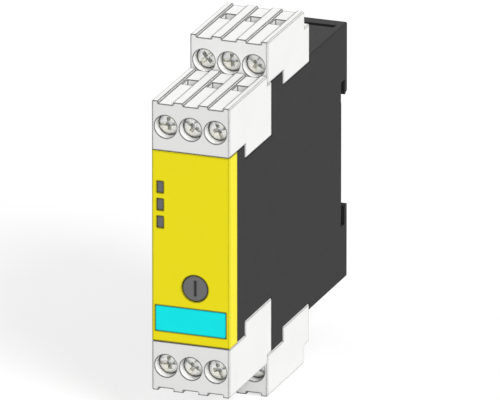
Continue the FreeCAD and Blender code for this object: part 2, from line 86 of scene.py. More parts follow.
def new_finish(name, **settings):
    """A material with a Principled shader, and that shader's even values."""
    finish = bpy.data.materials.new(name)
    finish.use_nodes = True
    shader = finish.node_tree.nodes["Principled BSDF"]
    for socket, value in settings.items():
        shader.inputs[socket.replace("_", " ")].default_value = value
    return finish, shader


# Most of a noise lies between these two levels
noise_low = 0.3
noise_high = 0.7

# The photograph draws each edge as a line. Here that is a dark band painted along the edge, so
# many millimetres wide, which is wider than any real edge line on a moulding, so that it shows.
line_width = 0.7


def moulded(name, colour, roughness, grain, depth, edge, cloud, ior, gloss=0.5, line=0.7):
    """A moulded plastic, with sizes in millimetres: the grain of its tool, edges as round as the
    tool leaves them, a faint cloud in the colour, painted shade that darkens corners and deep
    holes, and a dark band painted along the very edges. The gloss is the shader's specular level,
    and the line is the share of the colour that is left on an edge. A tool's real grain is about
    0.1 mm or finer, so each finish draws it coarser, as coarse as it needs to show."""
    cloud_size = 9
    corner_reach = 0.9
    hole_reach = 4
    swing = 0.05
    finish, shader = new_finish(name, IOR=ior, Specular_IOR_Level=gloss)
    spot = node(finish, "TexCoord", {}).outputs["Object"]
    broad = node(
        finish,
        "TexNoise",
        {"Vector": spot, "Scale": 1 / (cloud_size * mm), "Detail": 3.0},
    )
    fine = node(
        finish,
        "TexNoise",
        {"Vector": spot, "Scale": 1 / (grain * mm), "Detail": 2.0, "Roughness": 0.6},
    )
    # Painted shade: the colour darkens where little open sky is found close by, in corners, and
    # further off, in deep holes
    near_sky = node(finish, "AmbientOcclusion", {"Distance": corner_reach * mm}, samples=4)
    wide_sky = node(finish, "AmbientOcclusion", {"Distance": hole_reach * mm}, samples=3)
    rounded = node(finish, "Bevel", {"Radius": edge * mm}, samples=4).outputs["Normal"]

    # A dark band is painted along every edge, convex and concave alike, as wide as the line
    # Beside an edge, the normal averaged over the line's width turns away from the face's own
    about = node(finish, "Bevel", {"Radius": line_width * mm}, samples=8).outputs["Normal"]
    straight = node(finish, "NewGeometry", {}).outputs["Normal"]
    turned = node(finish, "VectorMath", {0: about, 1: straight}, operation="DOT_PRODUCT")

    # Each row has a source, two levels of it, and the share of the colour that is left at each
    shade = 1.0
    for source, low, high, least, most in (
        (broad.outputs["Fac"], noise_low, noise_high, 1 - cloud, 1 + cloud),
        (near_sky.outputs["AO"], 0.2, 0.75, 0.5, 1.0),
        (wide_sky.outputs["AO"], 0.05, 0.4, 0.45, 1.0),
        (turned.outputs["Value"], 0.93, 0.998, line, 1.0),
    ):
        level = node(
            finish,
            "MapRange",
            {"Value": source, "From Min": low, "From Max": high, "To Min": least, "To Max": most},
        )
        kept = node(finish, "Math", {0: shade, 1: level.outputs["Result"]}, operation="MULTIPLY")
        shade = kept.outputs["Value"]

    tinted = node(finish, "VectorMath", {0: linear(colour), "Scale": shade}, operation="SCALE")
    dull = node(
        finish,
        "MapRange",
        {
            "Value": fine.outputs["Fac"],
            "From Min": noise_low,
            "From Max": noise_high,
            "To Min": roughness - swing,
            "To Max": roughness + swing,
        },
    )
    relief = node(
        finish,
        "Bump",
        {"Distance": depth * mm, "Height": fine.outputs["Fac"], "Normal": rounded},
    )
    links = finish.node_tree.links
    links.new(tinted.outputs["Vector"], shader.inputs["Base Color"])
    links.new(dull.outputs["Result"], shader.inputs["Roughness"])
    links.new(relief.outputs["Normal"], shader.inputs["Normal"])
    return finish


def dress(names, finish):
    """Gives CAD pieces their finish."""
    for name in names:
        cad[name].data.materials.clear()
        cad[name].data.materials.append(finish)


# Black polyamide with glass fibre: a dry, dark grey skin with hardly any sheen. The grain is
# 0.1 mm on the real one and is drawn four times as coarse, so that it shows.
black_polyamide = moulded(
    "glass_filled_polyamide_black_spark_eroded",
    "#232324",
    roughness=0.72,
    grain=0.4,
    depth=0.055,
    edge=0.15,
    cloud=0.05,
    ior=1.53,
    gloss=0.25,
    line=0.5,
)
dress(["housing_shell"], black_polyamide)


# Rail spring. A bowed strip of stainless spring steel, blanked and bent, that sits with its two
# ends in the roof of the upper hook and presses the module down on the rail.


def metal(name, colour, tint, roughness, along, streak, depth, edge=0.1):
    """A metal, with sizes in millimetres: marks drawn out along one axis by rolling or drawing,
    each as wide as the streak, and a thin film whose tint comes and goes. Real marks are a few
    hundredths of a millimetre wide, and are drawn coarser so that they show."""
    drawn_out = 0.06
    film_size = 2.5
    swing = 0.08
    finish, shader = new_finish(name, Metallic=1.0)
    spot = node(finish, "TexCoord", {}).outputs["Object"]
    stretch = [drawn_out if axis == along else 1.0 for axis in "xyz"]
    drawn = node(finish, "Mapping", {"Vector": spot, "Scale": stretch})
    marks = node(
        finish,
        "TexNoise",
        {"Vector": drawn.outputs["Vector"], "Scale": 1 / (streak * mm), "Detail": 3.0},
    )
    broad = node(finish, "TexNoise", {"Vector": spot, "Scale": 1 / (film_size * mm)})
    patches = {"Value": broad.outputs["Fac"], "From Min": 0.35, "From Max": 0.65}
    blend = node(finish, "MapRange", patches).outputs["Result"]
    film = node(
        finish,
        "Mix",
        {"Factor": blend, "A": (*linear(colour), 1), "B": (*linear(tint), 1)},
        data_type="RGBA",
    )
    dull = node(
        finish,
        "MapRange",
        {
            "Value": marks.outputs["Fac"],
            "From Min": noise_low,
            "From Max": noise_high,
            "To Min": roughness - swing,
            "To Max": roughness + swing,
        },
    )
    rounded = node(finish, "Bevel", {"Radius": edge * mm}, samples=4).outputs["Normal"]
    relief = node(
        finish,
        "Bump",
        {"Distance": depth * mm, "Height": marks.outputs["Fac"], "Normal": rounded},
    )
    links = finish.node_tree.links
    links.new(film.outputs["Result"], shader.inputs["Base Color"])
    links.new(dull.outputs["Result"], shader.inputs["Roughness"])
    links.new(relief.outputs["Normal"], shader.inputs["Normal"])
    return finish


# Stainless spring strip, cold rolled along its length: a darker, warmer silver with fine lines
# along the strip
rolled_spring_steel = metal(
    "stainless_spring_steel_cold_rolled",
    "#b9b8b5",
    "#a9a7a2",
    roughness=0.32,
    along="x",
    streak=0.12,
    depth=0.004,
)
dress(["rail_spring"], rolled_spring_steel)


# Circuit boards. Five boards of 1.6 mm glass epoxy with tinned copper pads and green solder mask:
# one behind the cover, one along each side, and two that the terminals' bars are soldered into.


def masked_board(name, flat_axis):
    """Glass epoxy under a green mask, drawn in the plane across one axis: copper tracks that
    show through as lighter lines, tinned pads on a 2.54 mm grid, and the cloth's faint weave.
    Sizes are in millimetres, a pad's edge and face are shares of the grid, and a cell whose own
    random grey is under the bare level has no pad."""
    track_rise = 0.035
    track_run = 7.62
    track_pitch = 1.27
    half_track = 0.13
    pad_grid = 2.54
    pad_edge = 0.2
    pad_face = 0.18
    bare_level = 0.58
    weave = 0.5
    finish, shader = new_finish(name, IOR=1.55)
    spot = node(finish, "TexCoord", {}).outputs["Object"]
    turn = {"x": (0, math.pi / 2, 0), "y": (math.pi / 2, 0, 0), "z": (0, 0, 0)}[flat_axis]
    flat = node(finish, "Mapping", {"Vector": spot, "Rotation": turn}).outputs["Vector"]
    tracks = node(
        finish,
        "TexBrick",
        {
            "Vector": flat,
            "Color1": (0, 0, 0, 1),
            "Color2": (0, 0, 0, 1),
            "Mortar": (1, 1, 1, 1),
            "Scale": 1 / mm,
            "Mortar Size": half_track,
            "Mortar Smooth": 0.1,
            "Brick Width": track_run,
            "Row Height": track_pitch,
        },
    ).outputs["Color"]
    level = node(finish, "VectorMath", {0: flat, 1: (1, 1, 0)}, operation="MULTIPLY")
    grid = node(
        finish,
        "TexVoronoi",
        {
            "Vector": level.outputs["Vector"],
            "Scale": 1 / (pad_grid * mm),
            "Randomness": 0.0,
        },
    )
    pad_range = {"Value": grid.outputs["Distance"], "From Min": pad_edge, "From Max": pad_face}
    pad = node(finish, "MapRange", pad_range).outputs["Result"]
    some_range = {
        "Value": grid.outputs["Color"],
        "From Min": bare_level,
        "From Max": bare_level + 0.02,
    }
    some = node(finish, "MapRange", some_range).outputs["Result"]
    tinned = node(finish, "Math", {0: pad, 1: some}, operation="MULTIPLY").outputs["Value"]
    mask = node(
        finish,
        "Mix",
        {"Factor": tracks, "A": (*linear("#0f5a30"), 1), "B": (*linear("#1c7f45"), 1)},
        data_type="RGBA",
    )
    covered = node(
        finish,
        "Mix",
        {"Factor": tinned, "A": mask.outputs["Result"], "B": (*linear("#c9c9c6"), 1)},
        data_type="RGBA",
    )
    cloth = node(
        finish,
        "TexNoise",
        {"Vector": flat, "Scale": 1 / (weave * mm), "Detail": 1.0},
    )
    height = node(finish, "Math", {0: tracks, 1: cloth.outputs["Fac"]}, operation="ADD")
    rise = {"Distance": track_rise * mm, "Height": height.outputs["Value"]}
    relief = node(finish, "Bump", rise)
    dull_range = {"Value": cloth.outputs["Fac"], "To Min": 0.28, "To Max": 0.42}
    dull = node(finish, "MapRange", dull_range)
    links = finish.node_tree.links
    links.new(covered.outputs["Result"], shader.inputs["Base Color"])
    links.new(tinned, shader.inputs["Metallic"])
    links.new(dull.outputs["Result"], shader.inputs["Roughness"])
    links.new(relief.outputs["Normal"], shader.inputs["Normal"])
    return finish


# Solder mask over copper: a wet-looking deep green, paler where a track lies under it
dress(["front_board"], masked_board("glass_epoxy_green_solder_mask_front", "y"))
dress(["logic_board", "relay_board"], masked_board("glass_epoxy_green_solder_mask_side", "x"))
across_boards = ["upper_terminal_board", "lower_terminal_board"]
dress(across_boards, masked_board("glass_epoxy_green_solder_mask_across", "z"))


# Relays. Two sealed relays with forcibly guided contacts, one above the other on the right board.
# Each is a box of white PBT with a lid, welded round its seam and filled with resin from below.


def rounded_loop(left, right, half_z, radius, depth):
    """A rectangle with round corners at this depth, four points to a corner."""
    points = []
    for turn, (side, end) in enumerate(((1, 1), (-1, 1), (-1, -1), (1, -1))):
        for step in range(4):
            a = (turn + step / 3) * math.pi / 2
            x = (right - radius if side > 0 else left + radius) + radius * math.cos(a)
            z = end * (half_z - radius) + radius * math.sin(a)
            points.append((x * mm, depth * mm, z * mm))
    return points


def stacked(name, rings):
    """A closed mesh from rings of points, each joined to the next, with its two ends filled."""
    shell = bmesh.new()
    loops = [[shell.verts.new(point) for point in points] for points in rings]
    count = len(loops[0])
    for near, far in zip(loops, loops[1:]):
        for i in range(count):
            j = (i + 1) % count
            shell.faces.new((near[i], near[j], far[j], far[i]))
    shell.faces.new(loops[0][::-1])
    shell.faces.new(loops[-1])
    bmesh.ops.recalc_face_normals(shell, faces=shell.faces)
    mesh = bpy.data.meshes.new(name)
    shell.to_mesh(mesh)
    shell.free()
    return mesh


def rounded_box(name, half_x, half_z, corner, outline):
    """A closed box along Y with round corners. Its outline says how far in its sides lie at each
    depth."""
    return stacked(
        name,
        [rounded_loop(i - half_x, half_x - i, half_z - i, corner, d) for i, d in outline],
    )


def softened(mesh):
    """Smooth shading that keeps the edges where the faces turn by more than 35 degrees."""
    mesh.shade_smooth()
    mesh.set_sharp_from_angle(angle=math.radians(35))
    return mesh


def place(mesh, finishes, spot, body, node_name):
    """Sets a finished piece at its spot, in place of its CAD node."""
    for finish in finishes:
        mesh.materials.append(finish)
    piece = bpy.data.objects.new(node_name + "_detailed", mesh)
    bpy.context.scene.collection.objects.link(piece)
    piece.location = spot
    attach(piece, body)
    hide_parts(node_name)


def stood(mesh, node_name, up):
    """Turns a mesh built along Y so that it rises from its side board, to the right where up is
    1 and to the left where it is -1, and says where its foot goes."""
    low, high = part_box(node_name)
    mesh.transform(Matrix.Rotation(-up * math.pi / 2, 4, "Z"))
    middle = (low + high) / 2
    return Vector((low.x if up > 0 else high.x, middle.y, middle.z))


def moved(mesh, x=0.0, z=0.0):
    """The mesh, moved by so many millimetres."""
    mesh.transform(Matrix.Translation((x * mm, 0, z * mm)))
    return mesh


def joined(name, parts):
    """One mesh of several closed ones, each with the number of its finish."""
    whole = bmesh.new()
    for part, finish_number in parts:
        before = len(whole.faces)
        whole.from_mesh(part)
        whole.faces.ensure_lookup_table()
        for face in whole.faces[before:]:
            face.material_index = finish_number
    mesh = bpy.data.meshes.new(name)
    whole.to_mesh(mesh)
    whole.free()
    return mesh


def relay_mesh(size):
    """The relay with its foot at the origin: resin, skirt, seam, lid, and a shallow field on top
    with the nib that is cut off to vent it."""
    half_x, height, half_z = size.y / 2 / mm, size.x / mm, size.z / 2 / mm
    corner = 0.9
    field = 2.2
    field_depth = 0.2
    nib_half = 0.9
    nib_corner = 0.89
    nib_inset = 4.5
    outline = [
        (0.35, 0.0),
        (0.35, 0.4),
        (0.0, 0.55),
        (0.0, 2.0),
        (0.16, 2.06),
        (0.16, 2.3),
        (0.02, 2.36),
        (0.12, height - 0.7),
        (0.2, height - 0.3),
        (0.42, height - 0.08),
        (0.8, height),
        (field, height),
        (field + 0.15, height - field_depth),
    ]
    case = rounded_box("relay_case", half_x, half_z, corner, outline)
    nib_outline = ((0.0, height - 0.35), (0.0, height - 0.03))
    nib = rounded_box("relay_nib", nib_half, nib_half, nib_corner, nib_outline)
    nib = moved(nib, x=half_x - nib_inset, z=half_z - nib_inset)
    return softened(joined("relay", [(case, 0), (nib, 0)]))


# Relay cases of white PBT: a clean, slightly creamy white with a soft shine
white_pbt = moulded(
    "pbt_white_moulded_relay_case",
    "#efeee9",
    roughness=0.35,
    grain=0.3,
    depth=0.004,
    edge=0.1,
    cloud=0.01,
    ior=1.55,
)
for name in ("relay_a", "relay_b"):
    low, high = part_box(name)
    relay = relay_mesh(high - low)
    place(relay, [white_pbt], stood(relay, name, -1), "root", name)


# Processors. Two square chips on the left board that check each other: a moulded epoxy body with a
# dimple at its first pin, and gull-wing leads of tinned copper bent down to the board.

leads_a_side = 11
lead_pitch = 0.65
lead_width = 0.3
lead_reach = 1.0
round_steps = 36


def ring(radius_at, depth, steps=round_steps):
    """A ring of points round the Y axis at this depth. The radius may change with the angle."""
    angles = [2 * math.pi * i / steps for i in range(steps)]
    return [
        (radius_at(a) * math.cos(a) * mm, depth * mm, radius_at(a) * math.sin(a) * mm)
        for a in angles
    ]


def circle(radius, depth):
    """A ring of one radius."""
    return ring(lambda a: radius, depth)


def lathed(name, outline):
    """A closed round shape on the Y axis, from its radius at each depth."""
    return stacked(name, [circle(radius, depth) for radius, depth in outline])


def carved(mesh, cutters):
    """The mesh with the cutters taken out of it."""
    solid = bpy.data.objects.new(mesh.name, mesh)
    bpy.context.scene.collection.objects.link(solid)
    tools = []
    for cutter in cutters:
        tool = bpy.data.objects.new(cutter.name, cutter)
        bpy.context.scene.collection.objects.link(tool)
        cut = solid.modifiers.new(cutter.name, "BOOLEAN")
        cut.object = tool
        cut.solver = "EXACT"
        tools.append(tool)
    bpy.context.view_layer.update()
    seen = solid.evaluated_get(bpy.context.evaluated_depsgraph_get())
    made = bpy.data.meshes.new_from_object(seen)
    for used in [solid, *tools]:
        bpy.data.objects.remove(used)
    return made


def chip_mesh(size):
    """The chip with its foot at the origin and its leads' feet at the edges of its box."""
    half, height = size.y / 2 / mm, size.x / mm
    body_half = half - lead_reach
    parting = height / 2 + 0.05
    dimple_inset = 1.2
    outline = [
        (0.2, 0.1),
        (0.03, parting - 0.05),
        (0.0, parting - 0.05),
        (0.0, parting + 0.05),
        (0.03, parting + 0.05),
        (0.16, height - 0.12),
        (0.28, height),
    ]
    body = rounded_box("chip_body", body_half, body_half, 0.35, outline)
    dimple = lathed("dimple", ((0.5, height + 0.3), (0.4, height - 0.1)))
    dimple = moved(dimple, x=dimple_inset - body_half, z=body_half - dimple_inset)
    parts = [(carved(body, [dimple]), 0)]

    # The lead seen along the chip's side: out of the body, down to the board, and back inside
    bent = (
        (body_half - 0.3, parting + 0.07),
        (half - 0.5, parting + 0.07),
        (half - 0.3, 0.14),
        (half, 0.14),
        (half, 0.0),
        (half - 0.41, 0.0),
        (half - 0.61, parting - 0.07),
        (body_half - 0.3, parting - 0.07),
    )
    for side in range(4):
        for step in range(leads_a_side):
            z = (step - (leads_a_side - 1) / 2) * lead_pitch
            edges = [z - lead_width / 2, z + lead_width / 2]
            lead = stacked("lead", [[(x * mm, y * mm, e * mm) for x, y in bent] for e in edges])
            lead.transform(Matrix.Rotation(side * math.pi / 2, 4, "Y"))
            parts.append((lead, 1))
    return softened(joined("chip", parts))


# Transfer-moulded epoxy with silica: dull black with a dusty, very fine tooth
black_epoxy = moulded(
    "silica_filled_epoxy_black_moulded",
    "#252526",
    roughness=0.62,
    grain=0.15,
    depth=0.01,
    edge=0.05,
    cloud=0.04,
    ior=1.55,
)

# Tinned copper leads: bright where they were trimmed and bent, duller with solder at their feet
tinned_copper = metal(
    "tinned_copper_leads_formed",
    "#cfcfcd",
    "#b9b7ae",
    roughness=0.34,
    along="none",
    streak=0.3,
    depth=0.002,
    edge=0.03,
)
for name in ("processor_a", "processor_b"):
    low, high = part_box(name)
    chip = chip_mesh(high - low)
    place(chip, [black_epoxy, tinned_copper], stood(chip, name, 1), "root", name)


# Supply capacitor. An aluminium can on the right board, crimped over its rubber bung, with a black
# sleeve shrunk over it that leaves the scored top of the can bare.


def oblong(half_x, half_z, depth):
    """The outline of a rectangle at this depth."""
    corners = ((-1, -1), (1, -1), (1, 1), (-1, 1))
    return [(x * half_x * mm, depth * mm, z * half_z * mm) for x, z in corners]


def capacitor_mesh(radius, length):
    """The capacitor with its foot at the origin: sleeve with its crimp, and the bare top."""
    sleeve = [
        (radius - 0.8, 0.0),
        (radius - 0.7, 0.25),
        (radius - 0.12, 0.4),
        (radius, 0.7),
        (radius, 1.6),
        (radius - 0.15, 1.95),
        (radius - 0.4, 2.2),
        (radius - 0.15, 2.45),
        (radius, 2.8),
        (radius, length - 0.7),
        (radius - 0.1, length - 0.3),
        (radius - 0.35, length - 0.06),
        (radius - 0.6, length),
        (radius - 0.75, length - 0.02),
        (radius - 0.76, length - 0.12),
    ]
    top = [
        (radius - 0.74, length - 0.3),
        (radius - 0.74, length - 0.1),
        (radius - 0.9, length - 0.06),
    ]
    half_score = 2.2
    score = stacked(
        "score",
        [oblong(0.06, half_score, length + 0.2), oblong(0.05, half_score, length - 0.12)],
    )
    turned_score = score.copy()
    turned_score.transform(Matrix.Rotation(math.pi / 2, 4, "Y"))
    cap = carved(lathed("cap", top), [score, turned_score])
    return softened(joined("capacitor", [(lathed("sleeve", sleeve), 0), (cap, 1)]))


# Shrunk PET sleeve on an aluminium can: glossy black with faint shrink ripples
black_sleeve = moulded(
    "pet_sleeve_black_shrunk",
    "#1e1e21",
    roughness=0.22,
    grain=1.6,
    depth=0.02,
    edge=0.2,
    cloud=0.05,
    ior=1.57,
)

# Drawn aluminium left bare: a soft even silver
drawn_aluminium = metal(
    "aluminium_drawn_bare",
    "#d8d9da",
    "#cfd0d2",
    roughness=0.36,
    along="none",
    streak=0.4,
    depth=0.002,
    edge=0.05,
)
low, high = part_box("supply_capacitor")
can = capacitor_mesh((high.z - low.z) / 2 / mm, (high.x - low.x) / mm)
foot = stood(can, "supply_capacitor", -1)
place(can, [black_sleeve, drawn_aluminium], foot, "root", "supply_capacitor")


# Transformer. Two E halves of ferrite glued end to end round a coil, on the left board. The coil
# fills both windows, stands proud of the core, and is wound over with tape.


def slab(name, half_x, half_z, depths):
    """A closed slab with square corners, between two depths."""
    return stacked(name, [oblong(half_x, half_z, depth) for depth in depths])


def core_mesh(size):
    """The core with its foot at the origin, its two windows, and the glued seam round it."""
    half_x, height, half_z = size.y / 2 / mm, size.x / mm, size.z / 2 / mm
    yoke = 1.8
    half_leg = 1.6
    half_seam = 0.05
    seam_depth = 0.15
    past = 0.5
    outline = ((0.0, 0.0), (0.0, height - 0.3), (0.1, height - 0.1), (0.3, height))
    half_window = (half_z - yoke - half_leg) / 2
    through = (-past, height + past)
    cutters = []
    for side in (-1, 1):
        window = slab("window", half_x - yoke, half_window, through)
        cutters.append(moved(window, z=side * (half_leg + half_window)))
        seam = slab("seam", half_seam, seam_depth, through)
        cutters.append(moved(seam, z=side * half_z))
    cutters.append(slab("seam", half_seam, half_z + past, (height - seam_depth, height + past)))
    return softened(carved(rounded_box("core", half_x, half_z, 0.5, outline), cutters))


def winding_mesh(size, core_height):
    """The coil with its foot at the origin: one limb in each window, the taped bundle that stands
    proud, and the end of the tape."""
    half_x, height, half_z = size.y / 2 / mm, size.x / mm, size.z / 2 / mm
    limb = 1.5
    tape = 0.06
    start = core_height + 0.05
    top = height - tape
    limbs = []
    for side in (-1, 1):
        filled = slab("limb", half_x, limb, (0, start))
        limbs.append(moved(filled, z=side * (half_z - limb)))
    outline = ((0.0, start), (0.0, top - 0.5), (0.12, top - 0.2), (0.4, top - 0.04), (0.8, top))
    bundle = rounded_box("bundle", half_x, half_z, 0.9, outline)
    end = [rounded_loop(-0.8, half_x - 0.9, half_z - 0.9, 0.1, d) for d in (top - 0.1, height)]
    parts = [(piece, 0) for piece in [*limbs, bundle, stacked("tape_end", end)]]
    return softened(joined("winding", parts))


# Sintered manganese zinc ferrite: charcoal, matt, with a coarse powdery speckle
sintered_ferrite = moulded(
    "ferrite_sintered_ground",
    "#464648",
    roughness=0.58,
    grain=0.25,
    depth=0.015,
    edge=0.12,
    cloud=0.12,
    ior=2.2,
    gloss=0.3,
)

# Yellow polyester tape wound over the coil: a shiny amber film with soft creases
yellow_tape = moulded(
    "polyester_tape_yellow_wound",
    "#e2cb5a",
    roughness=0.25,
    grain=0.9,
    depth=0.03,
    edge=0.2,
    cloud=0.08,
    ior=1.64,
)
name = "transformer_core"
low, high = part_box(name)
core = core_mesh(high - low)
place(core, [sintered_ferrite], stood(core, name, 1), "root", name)
core_height = (high.x - low.x) / mm
name = "transformer_winding"
low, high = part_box(name)
coil = winding_mesh(high - low, core_height)
place(coil, [yellow_tape], stood(coil, name, 1), "root", name)


# Filter capacitor. A film capacitor in a moulded box on the left board, filled with resin at its
# foot, where small feet hold it off the board.


def boxed_mesh(size):
    """The box with its foot at the origin: two feet, the resin set back in its mouth, and a rim."""
    half_x, height, half_z = size.y / 2 / mm, size.x / mm, size.z / 2 / mm
    outline = [
        (0.5, 0.45),
        (0.35, 0.4),
        (0.3, 0.3),
        (0.0, 0.3),
        (0.0, height - 0.45),
        (0.08, height - 0.2),
        (0.25, height - 0.06),
        (0.5, height),
    ]
    foot_half = 0.5
    foot_inset = 0.1
    parts = [(rounded_box("box", half_x, half_z, 0.35, outline), 0)]
    for side in (-1, 1):
        foot = rounded_box("foot", half_x - foot_inset, foot_half, 0.2, ((0.0, 0.0), (0.0, 0.6)))
        parts.append((moved(foot, z=side * (half_z - foot_half - foot_inset)), 0))
    return softened(joined("filter_box", parts))


# Resin-filled box of a film capacitor: pale grey, flat and a little chalky
grey_box = moulded(
    "pbt_light_grey_resin_filled_box",
    "#e2e2dc",
    roughness=0.5,
    grain=0.4,
    depth=0.006,
    edge=0.1,
    cloud=0.03,
    ior=1.55,
)
name = "filter_capacitor"
low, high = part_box(name)
film_box = boxed_mesh(high - low)
place(film_box, [grey_box], stood(film_box, name, 1), "root", name)


# Light diodes. Three small diodes on the front board, behind the windows: a white moulded cup with
# clear epoxy cast in it, and a tinned foot folded round each end.


def diode_parts(half_x, height, half_z, z):
    """The parts of one diode at this height, with its face at depth 0 and its foot along Y, each
    with the number of its finish."""
    tab = 0.04
    tab_half_width = 0.45
    body_z = half_z - tab
    cup = rounded_box("cup", half_x, body_z, 0.12, ((0.1, 0.0), (0.0, 0.1), (0.0, height)))
    well = lathed("well", ((0.6, -0.1), (0.4, 0.35)))
    cast = lathed("cast", ((0.52, 0.06), (0.42, 0.3)))
    parts = [(carved(cup, [well]), 0), (cast, 1)]
    for side in (-1, 1):
        strip = slab("tab", tab_half_width, tab, (height * 0.4, height))
        parts.append((moved(strip, z=side * body_z), 2))
    return [(moved(part, z=z), finish_number) for part, finish_number in parts]


# Clear epoxy over a white reflector: milky, with a wet shine
clear_epoxy = moulded(
    "epoxy_clear_cast_over_reflector",
    "#dcdccb",
    roughness=0.12,
    grain=0.6,
    depth=0.002,
    edge=0.05,
    cloud=0.06,
    ior=1.54,
)
numbers = (1, 2, 3)
name = "indicator_leds"
low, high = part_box(name)
windows = [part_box("indicator_lens_%d" % number) for number in numbers]
window_heights = [(bottom.z + top.z) / 2 / mm for bottom, top in windows]
half_diode = high.z / mm - max(window_heights)
parts = []
for z in window_heights:
    parts += diode_parts((high.x - low.x) / 2 / mm, (high.y - low.y) / mm, half_diode, z)
spot = Vector(((low.x + high.x) / 2, low.y, 0))
diode_finishes = [white_pbt, clear_epoxy, tinned_copper]
place(softened(joined("diodes", parts)), diode_finishes, spot, "root", name)


# Trimmer. A square trimmer soldered to the front board: a blue case with a white rotor, whose round
# socket takes the adjuster's shaft.


def trimmer_mesh(half, height):
    """The trimmer with its face at the origin: case, seat, scale marks, and rotor with socket."""
    socket = 1.32
    seat = 2.5
    seat_depth = 0.5
    socket_floor = height - 0.6
    marks_a_side = 3
    mark_turn = 45
    outline = ((0.35, 0.0), (0.1, 0.08), (0.0, 0.3), (0.0, height))
    bore = lathed("bore", ((seat, -0.1), (seat, seat_depth)))
    hole = lathed("hole", ((socket, -0.2), (socket, socket_floor)))
    cutters = [bore, hole]
    for step in range(-marks_a_side, marks_a_side + 1):
        mark = moved(slab("mark", 0.05, 0.2, (-0.2, 0.06)), z=seat + 0.35)
        mark.transform(Matrix.Rotation(math.radians(mark_turn * step), 4, "Y"))
        cutters.append(mark)
    case = carved(rounded_box("trimmer_case", half, half, 0.9, outline), cutters)
    outline = ((seat - 0.25, 0.1), (seat - 0.08, 0.18), (seat - 0.08, seat_depth - 0.02))
    hole = lathed("hole", ((socket, -0.2), (socket, height)))
    rotor = carved(lathed("rotor", outline), [hole])
    return softened(joined("trimmer", [(case, 0), (rotor, 1)]))


# Blue glass-filled nylon of a trimmer's case: a strong blue with a soft shine
blue_nylon = moulded(
    "nylon_blue_moulded_trimmer",
    "#4062a0",
    roughness=0.3,
    grain=0.3,
    depth=0.004,
    edge=0.1,
    cloud=0.02,
    ior=1.53,
)
name = "trimmer_body"
low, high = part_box(name)
middle = (low + high) / 2
trimmer = trimmer_mesh((high.x - low.x) / 2 / mm, (high.y - low.y) / mm)
spot = Vector((middle.x, low.y, middle.z))
place(trimmer, [blue_nylon, white_pbt], spot, "root", name)


# Terminal blocks. Four mouldings in light grey glass-filled polyamide, each with three funnels for
# the screws in its face and three channels for the wires on top. They snap onto the housing.

sides = ("upper", "lower")
tiers = ("front", "rear")
banks = [side + "_" + tier for side in sides for tier in tiers]

# Light grey polyamide with glass fibre: a pale, matt and slightly waxy skin
grey_polyamide = moulded(
    "glass_filled_polyamide_light_grey_moulded",
    "#f3f3f2",
    roughness=0.55,
    grain=0.35,
    depth=0.03,
    edge=0.14,
    cloud=0.012,
    ior=1.53,
    gloss=0.2,
    line=0.12,
)
dress(["block_" + bank for bank in banks], grey_polyamide)


# Bars and clamps. Each terminal has a current bar of tinned brass, and round it a folded steel
# clamp with a tapped collar, which slides in the block's pocket as its screw turns.

# Brass with a matt tin plate: soft, white-grey, a little warm where the plate is thin
tinned_brass = metal(
    "tin_plated_brass_blanked",
    "#d6d4cc",
    "#cfc7ad",
    roughness=0.38,
    along="z",
    streak=0.2,
    depth=0.003,
)
dress(["bars_" + bank for bank in banks], tinned_brass)

# Steel strip, folded and then zinc plated: grey silver with the strip's rolling lines round it
folded_steel = metal(
    "zinc_plated_steel_folded",
    "#c3c5c8",
    "#c9c6ba",
    roughness=0.34,
    along="y",
    streak=0.15,
    depth=0.004,
)
dress(["clamp_%s_%d" % (bank, number) for bank in banks for number in numbers], folded_steel)


# Terminal screws. Twelve captive M3.5 screws, cold headed and thread rolled in steel, then zinc
# plated. Their heads take a cross head or a plain driver, and sit deep in the block's funnels.

screw_pitch = 0.6
thread_radius = 1.72
thread_depth = 0.32
rings_per_pitch = 6

# Half the span, half the width, and the depth, at the mouth and at the floor
cross_outline = ((2.05, 0.6, -0.3), (0.75, 0.3, 1.5))
slot_outline = ((4, 0.46, -0.3), (4, 0.4, 0.85))

# Each screw stands at its own angle
start_angle_step = math.radians(37)


def crossed(half_span, half_width, depth):
    """The outline of a plus sign at this depth."""
    arm = ((half_span, -half_width), (half_span, half_width), (half_width, half_width))
    corners = []
    for turn in range(4):
        c, s = math.cos(turn * math.pi / 2), math.sin(turn * math.pi / 2)
        for along, across in arm:
            x, z = along * c - across * s, along * s + across * c
            corners.append((x * mm, depth * mm, z * mm))
    return corners


def screw_mesh(head_radius, shank_radius, length):
    """The screw with its head's face at the origin and its shank along Y."""
    rim = 0.3
    head = 2.2
    neck = shank_radius - 0.2
    thread_start = 4.7
    tip = 0.5
    outline = [
        (head_radius - 2 * rim, 0.0),
        (head_radius - rim, 0.05),
        (head_radius - rim / 3, rim / 2),
        (head_radius, rim),
        (head_radius, head - rim / 2),
        (head_radius - rim / 2, head),
        (shank_radius + 0.15, head),
        (neck, head + 0.2),
        (neck, thread_start),
    ]
    rings = [circle(radius, depth) for radius, depth in outline]
    turns = (length - thread_start) / screw_pitch
    count = int(turns * rings_per_pitch)
    for step in range(1, count + 1):
        run = step / count
        depth = thread_start + run * (length - thread_start)
        fade = min(1, run * turns, (length - depth) / tip)
        core = shank_radius - thread_depth - 0.1 * (1 - fade)

        def threaded(a):
            """The radius at this angle: a ridge that winds round and fades out at both ends."""
            wave = abs(2 * ((depth / screw_pitch - a / (2 * math.pi)) % 1) - 1)
            return core + thread_depth * fade * wave

        rings.append(ring(threaded, depth))
    blank = stacked("screw_blank", rings)
    cross = stacked("cross", [crossed(span, width, depth) for span, width, depth in cross_outline])
    slot = stacked("slot", [oblong(width, span, depth) for span, width, depth in slot_outline])
    return softened(carved(blank, [cross, slot]))


